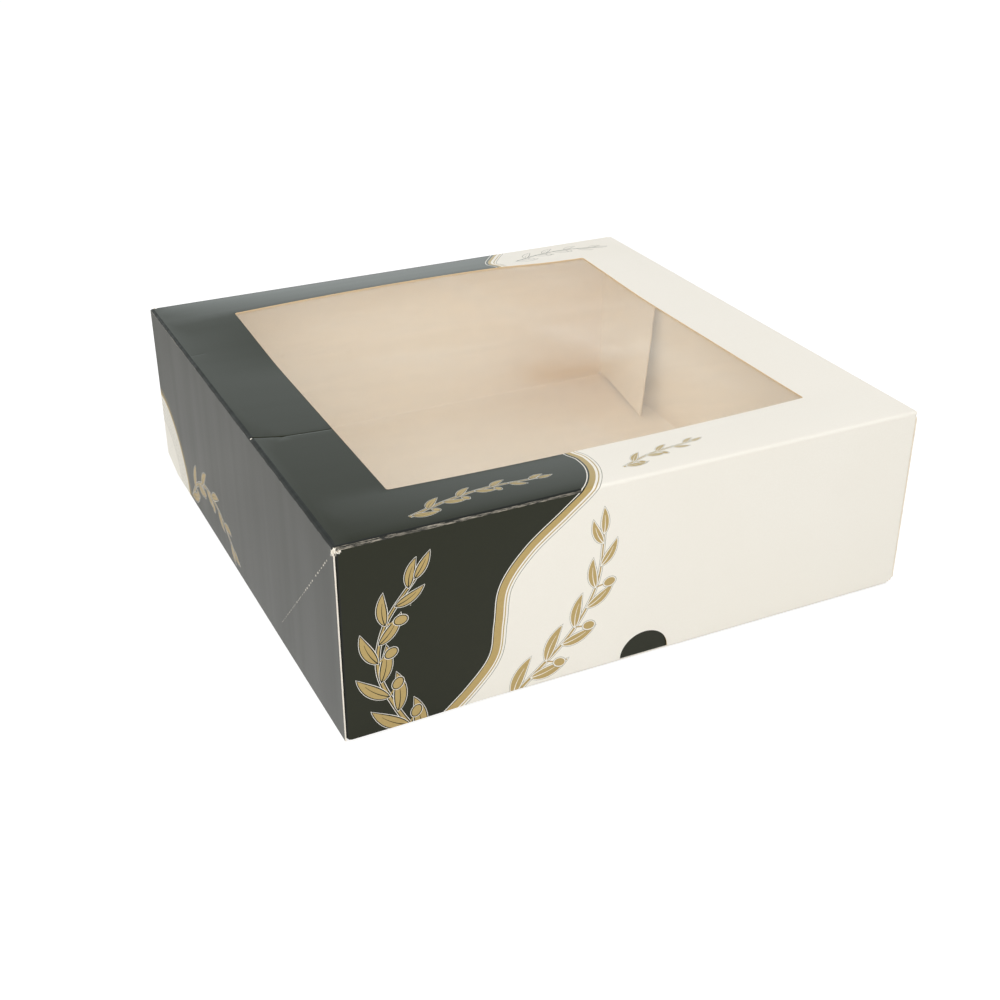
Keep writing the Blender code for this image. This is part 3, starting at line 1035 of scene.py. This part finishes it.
filmSheet = {
    "glue": 0.05, "thickness": 0.1, "step": 5.0, "slack": 0.3, "taut": 25.0,
    "ripple": 0.12, "ripples": ((0.8, 1, 13), (1, -0.6, 29)),       # height, and two crossing waves
    "ridges": [
        # tension wrinkles: start, end, height and half width
        ((7, 90), (37, -18), 0.34, 9.0),
        ((34, 33), (86, 30), 0.22, 6.0),
        ((-6, -62), (5, -92), 0.24, 6.0),
        ((-78, 66), (-20, 40), 0.16, 13.0),
        ((-60, -20), (-30, -74), 0.14, 14.0),
        ((52, -20), (70, -70), 0.14, 10.0),
    ],
    "milk": [
        # painted reflection: where it is milkier than elsewhere, along its wrinkles in place of their sheen,
        # and last a spot where it is clearer, so that the board shows darker through it
        ((7, 90), (37, -18), 0.042, 8.0),
        ((34, 33), (86, 30), 0.035, 7.0),
        ((-4, -66), (3, -90), 0.042, 4.0),
        ((-70, 60), (-10, 52), 0.02, 12.0),
        ((10, -22), (24, -28), -0.13, 11.0),
    ],
}


def filmPlace(u, v):
    s = filmSheet
    inside = 1
    for margin in (windowX - abs(u), windowBack - v, v - windowFront):
        inside *= ease(margin / s["taut"])
    rise = s["ripple"]
    for across, along, length in s["ripples"]:
        rise *= math.sin((u * across + v * along) / length)
    rise += softLines((u, v), s["ridges"]) - s["slack"]
    return u, v, top - board - s["glue"] + lidRise(u, min(v, flatBack)) + rise * inside


makePanel("window_film", "window_film", roundedRing(filmLow, filmHigh, 1.0, 8), filmPlace, "film", "film",
          "film", grid=filmSheet["step"], thickness=filmSheet["thickness"],
          mark=lambda u, v: softLines((u, v), filmSheet["milk"]))

# The hinge crease has rows across it, and no corner of the print in the band between its middle rows, the
# band meant for the bend when it is open, so that the printed face stays behind the bare one
hinge = {"rows": (0.125, 0.25, 0.75, 0.875), "bend": 0.2}


def outOfBend(v):
    # no corner of the print stands inside the bend, or it would fold through the bare side
    low, high = (flatBack + backLength * share for share in hinge["rows"][1:3])
    if low < v < high:
        return low if v - low < high - v else high
    return v


def hingeCrease():
    reach = frontWallHigh.x - 0.2
    end = flatBack + backLength
    outline = line((-reach, flatBack), (reach, flatBack), 24) + line((reach, end), (-reach, end), 24)
    heights = [flatBack + backLength * share for share in hinge["rows"]]
    prints = [(finish, [(u, outOfBend(v)) for u, v in ring]) for finish, ring in splitPrint]
    piece = cutSheet("hingeCrease", outline, hingePlace, "white", shapes=prints,
                     lines=[line((-reach, v), (reach, v), 24) for v in heights])
    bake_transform(piece)


hingeCrease()
print("film and hinge crease made")

# Painted shade towards the tab's foot, where the back wall, the right wall and the floor meet: the bare board
# there is drawn darker and browner
paintedCornerShade = {"at": (94.0, 113.0, 6.0), "reach": 48.0, "amount": 0.38}


def shadedByCorner(place):
    def mark(u, v):
        away = (Vector(place(u, v)) - Vector(paintedCornerShade["at"])).length / paintedCornerShade["reach"]
        return paintedCornerShade["amount"] * math.exp(-away * away)

    return mark


# The base
def baseRing(out):
    low, high = (-floorX - out, floorFront - out), (floorX + out, floorBack + out)
    return roundedRing(low, high, max(out, 0.01), 10)


def baseFloor():
    rings = [baseRing(foldLength * i / crease["steps"]) for i in range(1, crease["steps"])]
    makePanel("floor_panel", "bare_board", baseRing(foldLength), basePlace, "white",
              lines=[ring + ring[:1] for ring in rings], grid=10.0, mark=shadedByCorner(basePlace))


baseFloor()


def backPrint(spot):
    # the split runs on down the back wall, with a twig on each side
    wave = curveThrough([spot(*p) for p in ((53, 76), (59, 60), (50, 40), (31, 22), (28, 6), (35, -4))])
    prints = [("black", wave + [spot(-130, -6), spot(-130, 80)])]
    prints += bandAlong(wave, lambda t: 1.3 + 0.9 * ease(t), -1)
    prints += spray([spot(*p) for p in ((70, 5), (62, 20), (66, 38), (82, 52))], onWhite)
    return prints + spray([spot(*p) for p in ((10, 4), (-4, 18), (-4, 38), (10, 54))], onBlack)


def baseEnd(end):
    spot = partial(onBase, end)
    place = baseEndPlace(end)
    flat, turn = baseTurnX, baseTurnX + endLength
    if end == "back":
        slot = "bare_board"
        high = top - crease["backRadius"]
        look = {"printed": "white", "shapes": backPrint(spot), "mark": shadedByCorner(place)}
    else:
        slot = "black_print"
        high = wallTop
        look = {"printed": "black"}
    foot, head = crease["endCut"]
    ring = line((-flat, radius), (flat, radius), 24) + [(turn, radius + foot), (turn, high - head)]
    ring += line((flat, high), (-flat, high), 24) + [(-turn, high - head), (-turn, radius + foot)]
    makePanel(f"{end}_wall", slot, [spot(*p) for p in ring], place,
              lines=turnRows(spot, flat, radius + 1, high - 1.2), grid=8.0, **look)
    low, high = radius + tabs["relief"], wallTop - tabs["relief"]
    far = turn + tabs["reach"]
    corners = [(turn, low), (far, low), (far - tabs["taper"], high), (turn, high)]
    tab = [p for a, b in zip(corners, corners[1:] + corners[:1]) for p in line(a, b, 12)[:-1]]
    for side, hand in ((-1, "left"), (1, "right")):
        ring = [spot(side * x, z) for x, z in tab]
        makePanel(f"{end}_{hand}_tab", "bare_board", ring, place, "white", grid=5.0)


for end in ("front", "back"):
    baseEnd(end)
print("base walls made")


def baseSide(hand):
    spot = partial(onBase, hand)
    low, high = radius, wallTop
    rise = high - low
    look = {"printed": "white", "grid": 10.0, "mark": shadedByCorner(baseSidePlace)}
    if hand == "left":
        corner = [spot(*p) for p in ((64, -2), (84, 24), (100, 50), (130, 70), (130, -2))]
        look = {"printed": "black", "grid": 10.0, "shapes": [("white", corner)]}
    rings = {f"{hand}_wall": [(wallFront, low), (back, low), (back - rise, high), (wallFront + rise, high)]}
    for end, y, inward in (("front", wallFront, 1), ("back", back, -1)):
        rings[f"{hand}_{end}_gusset"] = [(y, low), (y + inward * rise, high), (y, high)]
    for node, ring in rings.items():
        slot = "black_print" if hand == "left" else "white_print"
        makePanel(node, slot, [spot(*p) for p in ring], baseSidePlace, **look)


for hand in ("left", "right"):
    baseSide(hand)
print("base sides made")

# Torn fibres stand out of the lid's front left corner, where three creases meet
fibreTuft = {
    "count": 46, "length": (0.9, 2.6), "width": (0.22, 0.5), "spread": 1.2, "steps": 4, "seed": 5,
    "drift": 0.45, "inset": 0.35, "below": 0.9, "short": 0.6, "curl": 0.3,
    "ways": (Vector((1, 0, -0.1)), Vector((0, 1, -0.5)), Vector((0, 0, -1)), Vector((0.7, 0, -0.8))),
}


def tornFibres():
    s = fibreTuft
    rng = random.Random(s["seed"])
    steps = s["steps"]
    vertices = []
    faces = []

    def anyWay():
        return Vector((rng.uniform(-1, 1), rng.uniform(-1, 1), rng.uniform(-1, 1)))

    for k in range(s["count"]):
        along = rng.choice(s["ways"])
        start = Vector((-halfWidth + s["inset"], front + s["inset"], top - s["below"]))
        start += Vector((rng.random(), rng.random(), -rng.random())) * s["spread"] * rng.random()
        heading = (along + s["drift"] * anyWay()).normalized()
        length = rng.uniform(*s["length"]) * (s["short"] if along.y else 1)
        width = rng.uniform(*s["width"])
        side = heading.cross(anyWay()).normalized()
        lift = heading.cross(side)
        first = len(vertices)
        for i in range(steps + 1):
            t = i / steps
            centre = start + heading * length * t + lift * s["curl"] * length * t * t * rng.uniform(0.6, 1.0)
            half = width / 2 * (1 - 0.85 * t) * rng.uniform(0.7, 1.2)
            for a, b in ((1, 0), (0, 0.5), (-1, 0), (0, -0.5)):
                p = centre + side * half * a + lift * half * b
                vertices.append(Vector((max(p.x, -halfWidth), max(p.y, front), min(p.z, top))) * mm)
        for i in range(steps):
            for j in range(4):
                a = first + 4 * i + j
                b = first + 4 * i + (j + 1) % 4
                faces.append((a, b, b + 4, a + 4))
        last = first + 4 * steps
        faces += [(first + 3, first + 2, first + 1, first), (last, last + 1, last + 2, last + 3)]
    mesh = bpy.data.meshes.new("tornFibres")
    mesh.from_pydata(vertices, [], faces)
    mesh.materials.append(finishes["paleEdge"])
    piece = inScene("tornFibres", mesh)
    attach(piece, "lid")


tornFibres()
print("torn corner made")

# The stage: a white table, a soft studio and the camera where the photograph was taken
stage = {
    "floorSize": 8000.0, "floorGlow": 0.72, "floorColour": "#D0D0CE", "floorFleck": "#D6D6D4",
    "floorDim": "#AEAEAE", "floorGrain": 60.0, "glow": "#FFFFFF", "glossShare": (1.0, 0.1),
    "glossReach": (-120.0, 250.0), "worldLight": 0.65, "sweepStrength": 4.0, "sweepTint": "#F6FFFF",
    "sweepLevels": ((0.0, 0.42), (0.28, 0.38), (0.38, 0.19), (0.46, 0.17), (0.54, 0.22), (0.8, 0.03)),
    "aim": (0, 0, 40),
}
lamps = {
    "key": {"place": (-800, -1250, 850), "size": 1300, "watts": 13.9},
    "fill": {"place": (1300, -300, 900), "size": 1200, "watts": 3.2},
    "side": {"place": (-1000, 350, 1150), "size": 1000, "watts": 4.2},
}
camera = {"lens": 51.552, "azimuth": -26.029, "elevation": 28.520, "roll": 0.083,
          "place": (-235.716, -479.653, 298.976)}


def forTheEye(add, share):
    # 1 for what the camera sees, also through the film, and that share of it for a reflection
    path = add("LightPath").outputs
    gloss = add("Math", links={0: path["Is Glossy Ray"], 1: share}, operation="MULTIPLY")
    seen = add("Math", links={0: path["Is Camera Ray"], 1: gloss}, operation="MAXIMUM")
    return add("Math", links={0: seen, 1: path["Is Transmission Ray"]}, operation="MAXIMUM")


def setTable():
    # Matt white paint, rolled on board and grained too finely to show, so its grain is drawn coarse. It
    # lights the object as paint does, and glows for the eye, in part for a gloss, and through a clear film.
    material, add, where = newMaterial("whitePaintedTable")
    grain = add("TexNoise", {"Scale": perMetre(stage["floorGrain"])}, {"Vector": where})
    tones = {"A": stage["floorColour"], "B": stage["floorFleck"]}
    paint = add("BsdfDiffuse", links={"Color": add("Mix", tones, {"Factor": grain}, data_type="RGBA")})
    dim = add("BsdfDiffuse", {"Color": stage["floorDim"]})
    glow = add("Emission", {"Color": stage["glow"], "Strength": stage["floorGlow"]})
    lifted = add("AddShader", links={0: dim, 1: glow})
    # a painted pool of light: the share of the glow that a gloss sees is largest in front of the box and
    # falls off towards the back
    along = add("SeparateXYZ", links={"Vector": where}).outputs["Y"]
    (near, far), (most, least) = stage["glossReach"], stage["glossShare"]
    pool = add("MapRange", {"From Min": near * mm, "From Max": far * mm, "To Min": most, "To Max": least},
               {"Value": along})
    mix = add("MixShader", links={0: forTheEye(add, pool), 1: paint, 2: lifted})
    add("OutputMaterial", links={"Surface": mix})
    size = stage["floorSize"] * mm / 2
    mesh = bpy.data.meshes.new("table")
    mesh.from_pydata([(x, y, -0.1 * mm) for x, y in patch(-size, -size, size, size)], [], [(0, 1, 2, 3)])
    mesh.materials.append(material)
    inScene("table", mesh)


def setWorld():
    # White for the eye. A gloss sees a lit sweep that is brightest at the horizon and dimmer overhead.
    world = bpy.data.worlds.new("studio")
    bpy.context.scene.world = world
    world.use_nodes = True
    world.node_tree.nodes.clear()
    add = partial(addNode, world.node_tree)
    towards = add("TexCoord").outputs["Generated"]
    height = add("SeparateXYZ", links={"Vector": towards}).outputs["Z"]
    levels = add("ValToRGB", links={"Fac": height})
    stops = levels.color_ramp.elements
    for place, level in stage["sweepLevels"]:
        stops.new(place).color = (level, level, level, 1.0)
    for stop in (stops[-1], stops[0]):
        stops.remove(stop)
    sweep = add("Math", {1: stage["sweepStrength"]}, {0: levels}, operation="MULTIPLY")
    strength = add("Math", {1: stage["worldLight"]}, {0: forTheEye(add, sweep)}, operation="MAXIMUM")
    tones = {"A": stage["glow"], "B": stage["sweepTint"]}
    tint = add("Mix", tones, {"Factor": add("LightPath").outputs["Is Glossy Ray"]}, data_type="RGBA")
    sky = add("Background", links={"Color": tint, "Strength": strength})
    add("OutputWorld", links={"Surface": sky})


def setLamp(name, s):
    lamp = bpy.data.lights.new(name, "AREA")
    lamp.shape = "SQUARE"
    lamp.size = s["size"] * mm
    lamp.energy = s["watts"]
    holder = inScene(name, lamp)
    holder.location = Vector(s["place"]) * mm
    aim = Vector(stage["aim"]) * mm - holder.location
    holder.rotation_euler = aim.to_track_quat("-Z", "Y").to_euler()


def setCamera():
    a, e, r = (math.radians(camera[k]) for k in ("azimuth", "elevation", "roll"))
    backward = Vector((math.sin(a) * math.cos(e), -math.cos(a) * math.cos(e), math.sin(e)))
    right = (-backward).cross(Vector((0, 0, 1))).normalized()
    up = right.cross(-backward)
    right, up = right * math.cos(r) + up * math.sin(r), up * math.cos(r) - right * math.sin(r)
    data = bpy.data.cameras.new("camera")
    data.lens = camera["lens"]
    data.clip_start = 0.01
    holder = inScene("camera", data)
    turn = Matrix((right, up, backward)).transposed().to_4x4()
    holder.matrix_world = Matrix.Translation(Vector(camera["place"]) * mm) @ turn
    bpy.context.scene.camera = holder


setTable()
setWorld()
for name, settings in lamps.items():
    setLamp(name, settings)
setCamera()
bpy.context.scene.view_settings.view_transform = "Standard"
print("stage set")
